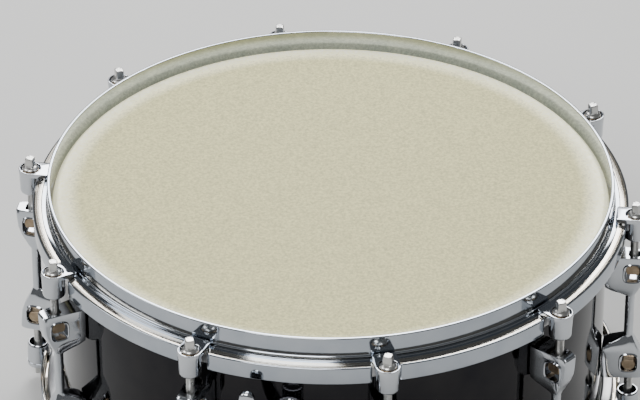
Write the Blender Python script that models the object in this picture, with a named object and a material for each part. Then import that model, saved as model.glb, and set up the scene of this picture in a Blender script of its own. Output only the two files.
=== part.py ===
"""Concert snare drum, 14 inches across, with ten double-ended lugs. Metres, +Z up.

The drum stands on its bottom hoop at z = 0 with its axis on the Z axis. Most pieces
are drawn in the top half, by radius and by height over the drum's middle plane, and
the bottom half turns the same pieces over.
"""

import math

import bmesh
import bpy
from mathutils import Matrix, Vector

# Whole drum
DRUM_HEIGHT = 0.176
LUG_COUNT = 10
RING_FACETS = 40
SEAT_GAP = 0.0003
SLIDING_GAP = 0.0005

# Shell and its vent
SHELL_RADIUS = 0.177
SHELL_DEPTH = 0.1524
SHELL_WALL = 0.0015
EDGE_ROUND = 0.0032
EDGE_FLANGE = 0.0075
VENT_BORE = 0.0050
VENT_WALL = 0.0008
VENT_FLANGE = 0.0085
VENT_FLANGE_THICKNESS = 0.0010
VENT_ANGLE = math.radians(54)

# Heads
FILM = 0.0003
COLLAR_DEPTH = 0.0115
FLESH_WIDTH = 0.0075
FLESH_HEIGHT = 0.0079

# Hoops
HOOP_BORE = 0.1783
UPRIGHT_WALL = 0.0022
FLANGE_HEIGHT = 0.0147
LEDGE_THICKNESS = 0.0033
LEDGE_FALL = 0.0008
BEAD_HEIGHT = 0.0022
BEAD_WIDTH = 0.0006
GROOVE_WIDTH = 0.0033
GROOVE_DEPTH = 0.0009
BAND_RADIUS = 0.190
BAND_WALL = 0.0022
BAND_DEPTH = 0.0115
BAND_CORNER = 0.0012
GATE_WIDTH = 0.050
GATE_HEIGHT = 0.0096
GATE_EDGE = 0.0036

# Claws and tension rods
ROD_CIRCLE = 0.195
ROD_RADIUS = 0.00275
ROD_LENGTH = 0.0399
ROD_COLLAR_RADIUS = 0.0052
ROD_COLLAR_HEIGHT = 0.0029
ROD_HEAD_WIDTH = 0.0059
ROD_HEAD_HEIGHT = 0.0065
ROD_SIDES = 8
CLAW_PLATE = 0.0029
CLAW_INNER_RADIUS = 0.0058
CLAW_FLOOR = 0.0024
CLAW_RIM = 0.0010
CLAW_LENGTH = 0.0170
CLAW_TAPER = 0.0004
CLAW_REACH = 0.0125
CLAW_SIDES = 10
CLAW_SINK = 0.0006
RECESS_DEPTH = 0.0019

# Lugs
LUG_TOP = 0.0465
LUG_SHOULDER = 0.0300
LUG_WAIST = 0.0240
LUG_NECK = 0.0200
LUG_TIP = 0.0155
LUG_REACH = 0.205
LUG_FOOT_HALF = 0.0085
LUG_FACE_HALF = 0.0050
LUG_CHAMFER = 0.0008
TUBE_CIRCLE = 0.1937
TUBE_RADIUS = 0.0030
POCKET_WIDTH = 0.0072
POCKET_DEPTH = 0.0045
WINDOW_WIDTH = 0.0100
WINDOW_HEIGHT = 0.0048
WINDOW_TOP = 0.0342
WINDOW_CORNER = 0.0015

# Throw-off, at -Y, by depth from the drum's axis
BASE_HALF_WIDTH = 0.0175
BASE_BOTTOM = 0.062
BASE_TOP = 0.114
BASE_BACK = 0.0048
BASE_CHAMFER = 0.0020
SLIDE_HALF_WIDTH = 0.0110
SLIDE_DEPTH = 0.0088
SLIDE_BOTTOM = 0.046
SLIDE_TOP = 0.116
BRIDGE_DEPTH = 0.0036
BRIDGE_BOTTOM = 0.080
BRIDGE_TOP = 0.104
PIVOT_HEIGHT = 0.092
PIN_RADIUS = 0.0025
PIN_HEAD_RADIUS = 0.0046
PIN_HEAD_THICKNESS = 0.0018
HUB_RADIUS = 0.0088
HUB_THICKNESS = 0.0090
LEVER_THICKNESS = 0.0070
LEVER_TIP_WIDTH = 0.0083
LEVER_ROOT_WIDTH = 0.0120
LEVER_TIP = (-0.0226, 0.1475)
LEVER_BOW = (-0.0290, 0.1160)
LEVER_STATIONS = 7
KNOB_RADIUS = 0.0075
KNOB_GRIP = 0.0007
KNOB_LOBES = 8
KNOB_HEIGHT = 0.012
KNOB_STEM = 0.0040
STEM_DEPTH = 0.0060

# Snares, straps and their clamps
STRAND_COUNT = 20
STRAND_PITCH = 0.0021
STRAND_WIDTH = 0.0012
STRAND_THICKNESS = 0.0016
STRAND_HALF_LENGTH = 0.158
END_PLATE_LENGTH = 0.016
STRAP_HALF_WIDTH = 0.0125
STRAP_THICKNESS = 0.0005
STRAP_BEND = 0.003
STRAP_TOP = 0.062
STRAP_START = 0.162
CLAMP_HALF_WIDTH = 0.0135
CLAMP_BOTTOM = 0.047
CLAMP_TOP = 0.061
CLAMP_THICKNESS = 0.0032
CLAMP_SCREW_OFFSET = 0.0080
CLAMP_SCREW_WIDTH = 0.0052
CLAMP_SCREW_HEIGHT = 0.0066
BUTT_HALF_WIDTH = 0.0175
BUTT_BOTTOM = 0.043
BUTT_TOP = 0.077

# Sizes that follow from the ones above
MIDDLE = DRUM_HEIGHT / 2
HALF_SHELL = SHELL_DEPTH / 2
FLAT = math.cos(math.pi / RING_FACETS)
FILM_TOP = HALF_SHELL + SEAT_GAP + FILM
COLLAR_RADIUS = SHELL_RADIUS + SEAT_GAP + FILM
FLESH_BORE = COLLAR_RADIUS + SEAT_GAP
LEDGE = MIDDLE - FLANGE_HEIGHT
LEDGE_UNDER = LEDGE - LEDGE_THICKNESS
FLESH_TOP = LEDGE_UNDER - SEAT_GAP
UPRIGHT_RADIUS = HOOP_BORE + UPRIGHT_WALL
BEAD_RADIUS = UPRIGHT_RADIUS + BEAD_WIDTH
GROOVE_RADIUS = BEAD_RADIUS + GROOVE_WIDTH
CUP_RADIUS = CLAW_INNER_RADIUS + CLAW_RIM + CLAW_RIM - SEAT_GAP / 2
CLAW_TOP = LEDGE + SEAT_GAP + CLAW_PLATE
CLAW_BOTTOM = CLAW_TOP - CLAW_LENGTH
RECESS_FLOOR = CLAW_TOP - RECESS_DEPTH
RECESS_RADIUS = CUP_RADIUS - CLAW_RIM
NOTCH_HALF = CUP_RADIUS + SLIDING_GAP + SEAT_GAP
NOTCH_RADIUS = ROD_CIRCLE - CUP_RADIUS - SLIDING_GAP
COLLAR_SEAT = RECESS_FLOOR + SEAT_GAP
FOOT = SHELL_RADIUS * FLAT + SEAT_GAP
SLIDE_BACK = SHELL_RADIUS + BASE_BACK + SLIDING_GAP
SLIDE_FRONT = SLIDE_BACK + SLIDE_DEPTH
BRIDGE_BACK = SLIDE_FRONT + SLIDING_GAP
BRIDGE_FRONT = BRIDGE_BACK + BRIDGE_DEPTH
HUB_BACK = BRIDGE_FRONT + SEAT_GAP
HUB_FRONT = HUB_BACK + HUB_THICKNESS
STRAP_BACK = SLIDE_FRONT + SEAT_GAP
STRAP_FRONT = STRAP_BACK + STRAP_THICKNESS
CLAMP_BACK = STRAP_FRONT + SEAT_GAP
CLAMP_FRONT = CLAMP_BACK + CLAMP_THICKNESS
WIRE_TOP = MIDDLE - FILM_TOP - SEAT_GAP
WIRE_BOTTOM = WIRE_TOP - STRAND_THICKNESS
STRAP_LEVEL = WIRE_BOTTOM - SEAT_GAP - STRAP_THICKNESS

FINISHES = {
    "chrome": ((0.62, 0.65, 0.68), 1.0, 0.12),
    "dark_shell": ((0.02, 0.02, 0.022), 1.0, 0.08),
    "coated_film": ((0.62, 0.58, 0.44), 0.0, 0.55),
    "clear_film": ((0.75, 0.77, 0.78), 0.0, 0.15),
    "aluminium": ((0.55, 0.55, 0.56), 1.0, 0.35),
    "snare_steel": ((0.50, 0.51, 0.53), 1.0, 0.25),
    "strap_plastic": ((0.02, 0.02, 0.02), 0.0, 0.5),
    "nickel": ((0.60, 0.52, 0.42), 1.0, 0.25),
}


def clear_scene():
    """Removes whatever the opened file holds."""
    for old in list(bpy.data.objects):
        bpy.data.objects.remove(old, do_unlink=True)


def finish(name, kind):
    """A Principled material for one piece, from the table of finishes."""
    colour, metallic, roughness = FINISHES[kind]
    made = bpy.data.materials.new(f"{name}_{kind}")
    made.use_nodes = True
    shader = made.node_tree.nodes["Principled BSDF"]
    shader.inputs["Base Color"].default_value = (*colour, 1.0)
    shader.inputs["Metallic"].default_value = metallic
    shader.inputs["Roughness"].default_value = roughness
    return made


def loft(rings, closed=False):
    """A closed body through rings of points. A closed loft joins its last ring to its first."""
    body = bmesh.new()
    loops = [[body.verts.new(point) for point in ring] for ring in rings]
    following = loops[1:] + (loops[:1] if closed else [])
    for ring, upper in zip(loops, following):
        for i in range(max(len(ring), len(upper))):
            corners = [ring[i % len(ring)], ring[(i + 1) % len(ring)]]
            corners += [upper[(i + 1) % len(upper)], upper[i % len(upper)]]
            body.faces.new(list(dict.fromkeys(corners)))
    if not closed:
        for ring in (loops[0], loops[-1]):
            if len(ring) > 2:
                body.faces.new(ring)
    bmesh.ops.recalc_face_normals(body, faces=body.faces)
    return body


def circle(radius, height, sides, phase=0.5, centre=(0.0, 0.0)):
    """Points round a circle, or the one point on the axis where the radius is nothing."""
    if radius == 0:
        return [Vector((centre[0], centre[1], height))]
    turn = 2 * math.pi / sides
    return [
        Vector(
            (
                centre[0] + radius * math.cos((i + phase) * turn),
                centre[1] + radius * math.sin((i + phase) * turn),
                height,
            )
        )
        for i in range(sides)
    ]


def turned(profile, sides=RING_FACETS, phase=0.5):
    """A profile of radius and height turned about Z, with a flat facet at +X."""
    rings = [circle(radius, height, sides, phase) for radius, height in profile]
    return loft(rings, closed=profile[0][0] > 0)


def block(low, high):
    """A box between two corners."""
    body = bmesh.new()
    bmesh.ops.create_cube(body, size=1.0)
    size = Vector(high) - Vector(low)
    middle = (Vector(high) + Vector(low)) / 2
    bmesh.ops.scale(body, vec=size, verts=body.verts)
    bmesh.ops.translate(body, vec=middle, verts=body.verts)
    return body


def chamfered(body, width, axis):
    """The same body with the edges that run along one axis chamfered."""
    along = [
        edge
        for edge in body.edges
        if abs((edge.verts[1].co - edge.verts[0].co).normalized()[axis]) > 0.99
    ]
    bmesh.ops.bevel(body, geom=along, offset=width, segments=1, affect="EDGES", profile=0.5)
    return body


def moved(body, matrix):
    """The same body carried by a matrix."""
    bmesh.ops.transform(body, matrix=matrix, verts=body.verts)
    return body


def gathered(bodies):
    """Several separate bodies in one mesh, for one cutter."""
    together = bmesh.new()
    for body in bodies:
        piece = bpy.data.meshes.new("piece")
        body.to_mesh(piece)
        body.free()
        together.from_mesh(piece)
        bpy.data.meshes.remove(piece)
    return together


def placed(name, body, kind, matrix=None):
    """A named object with its own material, from a mesh body or a mesh that is shared."""
    if isinstance(body, bmesh.types.BMesh):
        mesh = bpy.data.meshes.new(name)
        body.to_mesh(mesh)
        body.free()
    else:
        mesh = body
    made = bpy.data.objects.new(name, mesh)
    bpy.context.scene.collection.objects.link(made)
    if not mesh.materials:
        mesh.materials.append(None)
    made.material_slots[0].link = "OBJECT"
    made.material_slots[0].material = finish(name, kind)
    mesh.shade_smooth()
    mesh.set_sharp_from_angle(angle=math.radians(30))
    made.matrix_world = matrix or Matrix.Identity(4)
    return made


def boolean(target, body, operation="DIFFERENCE"):
    """A Boolean with a body that is kept as a hidden guide."""
    guide = placed(f"{target.name}_{operation.lower()}_{len(target.modifiers)}", body, "chrome")
    guide.matrix_world = target.matrix_world
    guide.hide_render = True
    guide.display_type = "WIRE"
    change = target.modifiers.new(operation.title(), "BOOLEAN")
    change.operation = operation
    change.solver = "EXACT"
    change.object = guide


def settled(target):
    """The mesh that an object's modifiers give, for copies to share. The object goes."""
    bpy.context.view_layer.update()
    graph = bpy.context.evaluated_depsgraph_get()
    mesh = bpy.data.meshes.new_from_object(target.evaluated_get(graph))
    guides = [change.object for change in target.modifiers]
    for old in [target, *guides]:
        bpy.data.objects.remove(old, do_unlink=True)
    mesh.materials.clear()
    return mesh


def bore(radius, sides):
    """The corner radius of a hole whose flats clear a round piece by the seat gap."""
    return (radius + SEAT_GAP) / math.cos(math.pi / sides)


def upper(angle=0.0, reach=0.0):
    """Carries a piece of the top half to an angle round the drum."""
    turn = Matrix.Rotation(angle, 4, "Z")
    return Matrix.Translation((0, 0, MIDDLE)) @ turn @ Matrix.Translation((reach, 0, 0))


def lower(angle=0.0, reach=0.0):
    """Carries the same piece to the bottom half, turned over about its own radius."""
    turn = Matrix.Rotation(angle, 4, "Z") @ Matrix.Rotation(math.pi, 4, "X")
    return Matrix.Translation((0, 0, MIDDLE)) @ turn @ Matrix.Translation((reach, 0, 0))


def lug_angles():
    return [2 * math.pi * i / LUG_COUNT for i in range(LUG_COUNT)]


def strainer_side():
    """Carries a piece drawn with its depth along +X to the -Y side, with z from the floor."""
    return Matrix.Rotation(-math.pi / 2, 4, "Z")


def butt_side():
    return Matrix.Rotation(math.pi / 2, 4, "Z")


def make_shell():
    """A turned metal shell with both bearing edges rolled inwards."""
    flange = SHELL_RADIUS - EDGE_FLANGE
    inside = SHELL_RADIUS - SHELL_WALL
    outer_half = [
        (flange, HALF_SHELL - EDGE_ROUND + 2 * SEAT_GAP),
        (SHELL_RADIUS - EDGE_ROUND, HALF_SHELL),
        (SHELL_RADIUS, HALF_SHELL - EDGE_ROUND),
    ]
    inner_half = [
        (inside, HALF_SHELL - EDGE_ROUND - 2 * SHELL_WALL),
        (flange, HALF_SHELL - EDGE_ROUND - SHELL_WALL + 2 * SEAT_GAP),
    ]
    below = [(radius, -height) for radius, height in reversed(outer_half)]
    inner_below = [(radius, -height) for radius, height in reversed(inner_half)]
    profile = outer_half + below + inner_below + inner_half
    shell = placed("shell", turned(profile), "dark_shell", upper())
    hole = turned([(0, -0.01), (bore(VENT_BORE + VENT_WALL, 12), -0.01),
                   (bore(VENT_BORE + VENT_WALL, 12), 0.01), (0, 0.01)], 12)
    boolean(shell, moved(hole, vent_place()))


def vent_place():
    """Carries a piece drawn along Z to the vent, with Z pointing out of the shell."""
    out = Matrix.Rotation(math.pi / 2, 4, "Y")
    return Matrix.Rotation(VENT_ANGLE, 4, "Z") @ Matrix.Translation((SHELL_RADIUS * FLAT, 0, 0)) @ out


def make_vent():
    """The grommet round the air hole, with a flange on each side of the wall."""
    wall = VENT_BORE + VENT_WALL
    outside = SEAT_GAP
    inside = -SHELL_WALL - SEAT_GAP
    profile = [
        (VENT_BORE, outside + VENT_FLANGE_THICKNESS),
        (VENT_FLANGE - VENT_FLANGE_THICKNESS, outside + VENT_FLANGE_THICKNESS),
        (VENT_FLANGE, outside),
        (wall, outside),
        (wall, inside),
        (VENT_FLANGE - VENT_FLANGE_THICKNESS, inside),
        (VENT_FLANGE - VENT_FLANGE_THICKNESS, inside - VENT_FLANGE_THICKNESS / 2),
        (VENT_BORE, inside - VENT_FLANGE_THICKNESS / 2),
    ]
    placed("air_vent", turned(profile, 12), "chrome", upper() @ vent_place())


def film_profile():
    """A thin film over the bearing edge, with its collar down beside the shell."""
    shoulder = EDGE_ROUND - SEAT_GAP
    inner = SHELL_RADIUS + SEAT_GAP
    return [
        (0, FILM_TOP),
        (SHELL_RADIUS - shoulder, FILM_TOP),
        (COLLAR_RADIUS, HALF_SHELL - shoulder + SEAT_GAP),
        (COLLAR_RADIUS, HALF_SHELL - COLLAR_DEPTH),
        (inner, HALF_SHELL - COLLAR_DEPTH),
        (inner, HALF_SHELL - shoulder),
        (SHELL_RADIUS - shoulder - SEAT_GAP, HALF_SHELL + SEAT_GAP),
        (0, HALF_SHELL + SEAT_GAP),
    ]


def flesh_profile():
    return [
        (FLESH_BORE, FLESH_TOP),
        (FLESH_BORE + FLESH_WIDTH, FLESH_TOP),
        (FLESH_BORE + FLESH_WIDTH, FLESH_TOP - FLESH_HEIGHT),
        (FLESH_BORE, FLESH_TOP - FLESH_HEIGHT),
    ]


def make_heads():
    """Two heads, each a film and the flesh hoop that its hoop presses down."""
    placed("batter_head", turned(film_profile()), "coated_film", upper())
    placed("batter_flesh_hoop", turned(flesh_profile()), "aluminium", upper())
    placed("snare_side_head", turned(film_profile()), "clear_film", lower())
    placed("snare_side_flesh_hoop", turned(flesh_profile()), "aluminium", lower())


def hoop_profile():
    """An upright, a bead at its foot, the claws' groove, the sloping ledge and the outer band."""
    edge = UPRIGHT_WALL / 4
    groove = LEDGE - GROOVE_DEPTH
    band_inside = BAND_RADIUS - BAND_WALL
    return [
        (HOOP_BORE, MIDDLE),
        (UPRIGHT_RADIUS - edge, MIDDLE),
        (UPRIGHT_RADIUS, MIDDLE - edge),
        (UPRIGHT_RADIUS, LEDGE + BEAD_HEIGHT),
        (BEAD_RADIUS, LEDGE + BEAD_HEIGHT - BEAD_WIDTH),
        (BEAD_RADIUS, groove),
        (GROOVE_RADIUS, groove),
        (GROOVE_RADIUS, LEDGE),
        (BAND_RADIUS - BAND_CORNER, LEDGE - LEDGE_FALL),
        (BAND_RADIUS, LEDGE - LEDGE_FALL - BAND_CORNER),
        (BAND_RADIUS, LEDGE - LEDGE_FALL - BAND_DEPTH),
        (band_inside, LEDGE - LEDGE_FALL - BAND_DEPTH),
        (band_inside, LEDGE_UNDER),
        (HOOP_BORE, LEDGE_UNDER),
    ]


def notches():
    """A cut through the band and the ledge's edge for each claw's cup."""
    cuts = []
    for angle in lug_angles():
        cut = block(
            (NOTCH_RADIUS, -NOTCH_HALF, LEDGE - LEDGE_FALL - BAND_DEPTH - BAND_CORNER),
            (BAND_RADIUS + BAND_WALL, NOTCH_HALF, LEDGE + BAND_CORNER),
        )
        cuts.append(moved(cut, Matrix.Rotation(angle, 4, "Z")))
    return gathered(cuts)


def claw_outline(height, radius):
    """The claw plate seen from above: round outside, with two sides in to a straight edge."""
    points = circle(radius, height, CLAW_SIDES, 0.0)
    turn = 360 / CLAW_SIDES
    inner = [i for i in range(CLAW_SIDES) if 90 < i * turn < 270]
    for order, i in enumerate(inner):
        share = 1 - 2 * order / (len(inner) - 1)
        points[i] = Vector((-CLAW_REACH, share * radius, height))
    return points


def claw_body(seat):
    """One claw about its rod's axis: a plate on the ledge, and a cup with a floor for the rod."""
    hole = bore(ROD_RADIUS, CLAW_SIDES)
    cup = CUP_RADIUS - CLAW_TAPER / 2
    under = LEDGE + seat
    rings = [
        claw_outline(CLAW_TOP, CUP_RADIUS),
        claw_outline(under, CUP_RADIUS),
        circle(cup, under, CLAW_SIDES, 0.0),
        circle(cup - CLAW_TAPER, CLAW_BOTTOM, CLAW_SIDES, 0.0),
        circle(CLAW_INNER_RADIUS, CLAW_BOTTOM, CLAW_SIDES, 0.0),
        circle(CLAW_INNER_RADIUS, RECESS_FLOOR - CLAW_FLOOR, CLAW_SIDES, 0.0),
        circle(hole, RECESS_FLOOR - CLAW_FLOOR, CLAW_SIDES, 0.0),
        circle(hole, RECESS_FLOOR, CLAW_SIDES, 0.0),
        circle(RECESS_RADIUS, RECESS_FLOOR, CLAW_SIDES, 0.0),
        circle(RECESS_RADIUS, CLAW_TOP, CLAW_SIDES, 0.0),
    ]
    return loft(rings, closed=True)


def make_hoops():
    """The two hoops. The bottom one carries its claws and has a gate for each snare strap."""
    top = placed("top_hoop", turned(hoop_profile()), "chrome", upper())
    boolean(top, notches())
    bottom = placed("bottom_hoop", turned(hoop_profile()), "chrome", lower())
    gates = [
        moved(
            block(
                (HOOP_BORE - UPRIGHT_WALL, -GATE_WIDTH / 2, MIDDLE - GATE_EDGE - GATE_HEIGHT),
                (UPRIGHT_RADIUS + UPRIGHT_WALL, GATE_WIDTH / 2, MIDDLE - GATE_EDGE),
            ),
            Matrix.Rotation(side * math.pi / 2, 4, "Z"),
        )
        for side in (1, -1)
    ]
    boolean(bottom, notches())
    boolean(bottom, gathered(gates))
    claws = [
        moved(
            claw_body(-CLAW_SINK),
            Matrix.Rotation(angle, 4, "Z") @ Matrix.Translation((ROD_CIRCLE, 0, 0)),
        )
        for angle in lug_angles()
    ]
    boolean(bottom, gathered(claws), "UNION")


def make_claws():
    """The top claws, which share one mesh."""
    shared = None
    for number, angle in enumerate(lug_angles(), 1):
        name = f"top_claw_{number:02d}"
        made = placed(name, shared or claw_body(SEAT_GAP), "chrome", upper(angle, ROD_CIRCLE))
        shared = made.data


def square(width, height):
    """Eight points round a square, so that it joins an eight-sided shaft."""
    half = width / 2
    steps = ((1, 0), (1, 1), (0, 1), (-1, 1), (-1, 0), (-1, -1), (0, -1), (1, -1))
    return [Vector((half * x, half * y, height)) for x, y in steps]


def rod_body():
    """A tension rod about its own axis: shaft, collar and square key head."""
    collar_top = COLLAR_SEAT + ROD_COLLAR_HEIGHT
    rings = [
        circle(ROD_RADIUS, COLLAR_SEAT - ROD_LENGTH, ROD_SIDES, 0.0),
        circle(ROD_RADIUS, COLLAR_SEAT, ROD_SIDES, 0.0),
        circle(ROD_COLLAR_RADIUS, COLLAR_SEAT, ROD_SIDES, 0.0),
        circle(ROD_COLLAR_RADIUS, collar_top, ROD_SIDES, 0.0),
        square(ROD_HEAD_WIDTH, collar_top),
        square(ROD_HEAD_WIDTH, collar_top + ROD_HEAD_HEIGHT),
    ]
    return loft(rings)


def make_rods():
    """Ten rods in each half, each with its origin on its own axis."""
    shared = None
    for side, carry in (("top", upper), ("bottom", lower)):
        for number, angle in enumerate(lug_angles(), 1):
            name = f"{side}_rod_{number:02d}"
            made = placed(name, shared or rod_body(), "chrome", carry(angle, ROD_CIRCLE))
            shared = made.data


def lug_section(inner, outer, inner_half, outer_half, chamfer, height):
    """One level of a lug: a trapezium with its four corners cut."""
    return [
        Vector((inner, inner_half - chamfer, height)),
        Vector((inner, -inner_half + chamfer, height)),
        Vector((inner + chamfer, -inner_half, height)),
        Vector((outer - chamfer, -outer_half, height)),
        Vector((outer, -outer_half + chamfer, height)),
        Vector((outer, outer_half - chamfer, height)),
        Vector((outer - chamfer, outer_half, height)),
        Vector((inner + chamfer, inner_half, height)),
    ]


def lug_levels():
    """The outside of a casting from its top down to the tube, in the order of lug_section."""
    tube_in = TUBE_CIRCLE - TUBE_RADIUS
    tube_out = TUBE_CIRCLE + TUBE_RADIUS
    tube_chamfer = TUBE_RADIUS * (2 - math.sqrt(2))
    mid_out = (LUG_REACH + tube_out) / 2
    neck_in = (FOOT + tube_in) / 2
    neck_half = (LUG_FACE_HALF + TUBE_RADIUS) / 2
    return [
        (FOOT, LUG_REACH, LUG_FOOT_HALF, LUG_FACE_HALF, LUG_CHAMFER, LUG_TOP),
        (FOOT, LUG_REACH - LUG_CHAMFER, LUG_FOOT_HALF, LUG_FACE_HALF, LUG_CHAMFER, LUG_SHOULDER),
        (FOOT, mid_out, LUG_FOOT_HALF, LUG_FACE_HALF, LUG_CHAMFER, LUG_WAIST),
        (neck_in, (mid_out + tube_out) / 2, LUG_FACE_HALF, neck_half, LUG_CHAMFER, LUG_NECK),
        (tube_in, tube_out, TUBE_RADIUS, TUBE_RADIUS, tube_chamfer, LUG_TIP),
    ]


def lug_cuts():
    """The open pocket, the rod's bore and the side window of one casting."""
    floor = LUG_TOP - POCKET_DEPTH
    pocket = block(
        (ROD_CIRCLE - POCKET_WIDTH / 2, -POCKET_WIDTH / 2, floor),
        (ROD_CIRCLE + POCKET_WIDTH / 2, POCKET_WIDTH / 2, LUG_TOP + POCKET_DEPTH),
    )
    hole = bore(ROD_RADIUS, ROD_SIDES)
    low = WINDOW_TOP - WINDOW_HEIGHT / 2
    channel = loft(
        [
            circle(hole, low, ROD_SIDES, 0.5, (ROD_CIRCLE, 0.0)),
            circle(hole, floor + POCKET_DEPTH / 2, ROD_SIDES, 0.5, (ROD_CIRCLE, 0.0)),
        ]
    )
    window = block(
        (ROD_CIRCLE - WINDOW_WIDTH / 2, -2 * LUG_FOOT_HALF, WINDOW_TOP - WINDOW_HEIGHT),
        (ROD_CIRCLE + WINDOW_WIDTH / 2, 2 * LUG_FOOT_HALF, WINDOW_TOP),
    )
    return [pocket, channel, chamfered(window, WINDOW_CORNER, 1)]


def make_lugs():
    """Ten double-ended lugs: two castings joined by a tube, which share one mesh."""
    levels = lug_levels()
    rings = [lug_section(*level) for level in levels]
    rings += [lug_section(*level[:5], -level[5]) for level in reversed(levels)]
    outside = loft(rings)
    bmesh.ops.triangulate(outside, faces=outside.faces)
    pattern = placed("lug_pattern", outside, "chrome")
    for cutter in lug_cuts():
        boolean(pattern, cutter)
    for cutter in lug_cuts():
        boolean(pattern, moved(cutter, Matrix.Rotation(math.pi, 4, "X")))
    shared = settled(pattern)
    for number, angle in enumerate(lug_angles(), 1):
        placed(f"lug_{number:02d}", shared, "chrome", upper(angle))


def shell_space(low, high):
    """What a bracket's back must leave clear: the shell, grown by the seat gap."""
    radius = SHELL_RADIUS + SEAT_GAP / FLAT
    return turned([(0, high), (radius, high), (radius, low), (0, low)])


def make_strainer_base():
    """The throw-off's housing: a channel for the slide, and a bridge that carries the lever."""
    base = chamfered(
        block((FOOT - BASE_BACK, -BASE_HALF_WIDTH, BASE_BOTTOM), (BRIDGE_FRONT, BASE_HALF_WIDTH, BASE_TOP)),
        BASE_CHAMFER,
        2,
    )
    made = placed("strainer_base", base, "chrome", strainer_side())
    around = SLIDE_HALF_WIDTH + SLIDING_GAP
    boolean(made, shell_space(BASE_BOTTOM - BASE_CHAMFER, BASE_TOP + BASE_CHAMFER))
    channel = block(
        (SLIDE_BACK - SLIDING_GAP, -around, BASE_BOTTOM - BASE_CHAMFER),
        (BRIDGE_BACK, around, BASE_TOP + BASE_CHAMFER),
    )
    boolean(made, channel)
    openings = [
        block((SLIDE_FRONT, -around, BASE_BOTTOM - BASE_CHAMFER), (HUB_FRONT, around, BRIDGE_BOTTOM)),
        block((SLIDE_FRONT, -around, BRIDGE_TOP), (HUB_FRONT, around, BASE_TOP + BASE_CHAMFER)),
    ]
    boolean(made, gathered(openings))
    boolean(made, pivot_hole(BRIDGE_BACK - SLIDING_GAP, HUB_FRONT))


def pivot_axis(depth):
    """Carries a piece drawn along Z to the lever's axis, with Z out from the drum."""
    return Matrix.Translation((depth, 0, PIVOT_HEIGHT)) @ Matrix.Rotation(math.pi / 2, 4, "Y")


def pivot_hole(low, high):
    radius = bore(PIN_RADIUS, 12)
    return moved(turned([(0, high), (radius, high), (radius, low), (0, low)], 12), pivot_axis(0))


def make_slide():
    """The block that the lever draws down, with a bore for the knob's screw."""
    body = chamfered(
        block((SLIDE_BACK, -SLIDE_HALF_WIDTH, SLIDE_BOTTOM), (SLIDE_FRONT, SLIDE_HALF_WIDTH, SLIDE_TOP)),
        BASE_CHAMFER / 2,
        2,
    )
    made = placed("strainer_slide", body, "chrome", strainer_side())
    radius = bore(PIN_RADIUS, KNOB_LOBES)
    top = SLIDE_TOP + STEM_DEPTH
    floor = SLIDE_TOP - STEM_DEPTH - SLIDING_GAP
    hole = turned([(0, top), (radius, top), (radius, floor), (0, floor)], KNOB_LOBES)
    boolean(made, moved(hole, Matrix.Translation((knob_depth(), 0, 0))))


def knob_depth():
    return (SLIDE_BACK + SLIDE_FRONT) / 2


def make_knob():
    """The tension knob: a lobed head on a plain stem, about its own axis."""
    low = SLIDE_TOP + KNOB_STEM
    high = low + KNOB_HEIGHT
    sides = 2 * KNOB_LOBES

    def lobed(radius, height):
        points = circle(radius, height, sides, 0.0)
        shrink = (radius - KNOB_GRIP) / radius
        return [p if i % 2 else Vector((p.x * shrink, p.y * shrink, p.z)) for i, p in enumerate(points)]

    rings = [
        circle(PIN_RADIUS, SLIDE_TOP - STEM_DEPTH, sides, 0.0),
        circle(PIN_RADIUS, low, sides, 0.0),
        lobed(KNOB_RADIUS, low),
        lobed(KNOB_RADIUS, high - KNOB_GRIP),
        lobed(KNOB_RADIUS - 2 * KNOB_GRIP, high),
    ]
    place = strainer_side() @ Matrix.Translation((knob_depth(), 0, 0))
    placed("tension_knob", loft(rings), "chrome", place)


def make_lever():
    """The throw-off lever: a bowed tapering arm from a round hub to a rounded tip."""
    start = Vector((0.0, PIVOT_HEIGHT))
    bow = Vector(LEVER_BOW)
    tip = Vector(LEVER_TIP)
    rings = []
    back = HUB_FRONT - LEVER_THICKNESS
    for i in range(LEVER_STATIONS):
        t = i / (LEVER_STATIONS - 1)
        middle = start * (1 - t) ** 2 + bow * 2 * t * (1 - t) + tip * t ** 2
        along = ((bow - start) * (1 - t) + (tip - bow) * t).normalized()
        across = Vector((along.y, -along.x))
        half = (LEVER_ROOT_WIDTH * (1 - t) + LEVER_TIP_WIDTH * t) / 2
        if i == LEVER_STATIONS - 1:
            half *= 0.5
        elif i == LEVER_STATIONS - 2:
            half *= 0.95
        thick = LEVER_THICKNESS * (1 - 0.2 * t)
        cut = min(half, thick) * 0.35
        ring = []
        for side, depth in (
            (half - cut, back), (half, back + cut), (half, back + thick - cut), (half - cut, back + thick),
            (cut - half, back + thick), (-half, back + thick - cut), (-half, back + cut), (cut - half, back),
        ):
            point = middle + across * side
            ring.append(Vector((depth, point.x, point.y - PIVOT_HEIGHT)))
        rings.append(ring)
    place = strainer_side() @ Matrix.Translation((0, 0, PIVOT_HEIGHT))
    made = placed("throw_off_lever", loft(rings), "chrome", place)
    out = Matrix.Rotation(math.pi / 2, 4, "Y")
    edge = HUB_RADIUS - LEVER_THICKNESS / 8
    hub = turned(
        [(0, HUB_FRONT), (edge, HUB_FRONT), (HUB_RADIUS, HUB_FRONT - (HUB_RADIUS - edge)),
         (HUB_RADIUS, HUB_BACK), (0, HUB_BACK)],
        16,
    )
    boolean(made, moved(hub, out), "UNION")
    hole = bore(PIN_RADIUS, 12)
    pin_hole = turned([(0, HUB_FRONT + HUB_THICKNESS), (hole, HUB_FRONT + HUB_THICKNESS),
                       (hole, BRIDGE_BACK), (0, BRIDGE_BACK)], 12)
    boolean(made, moved(pin_hole, out))


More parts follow.
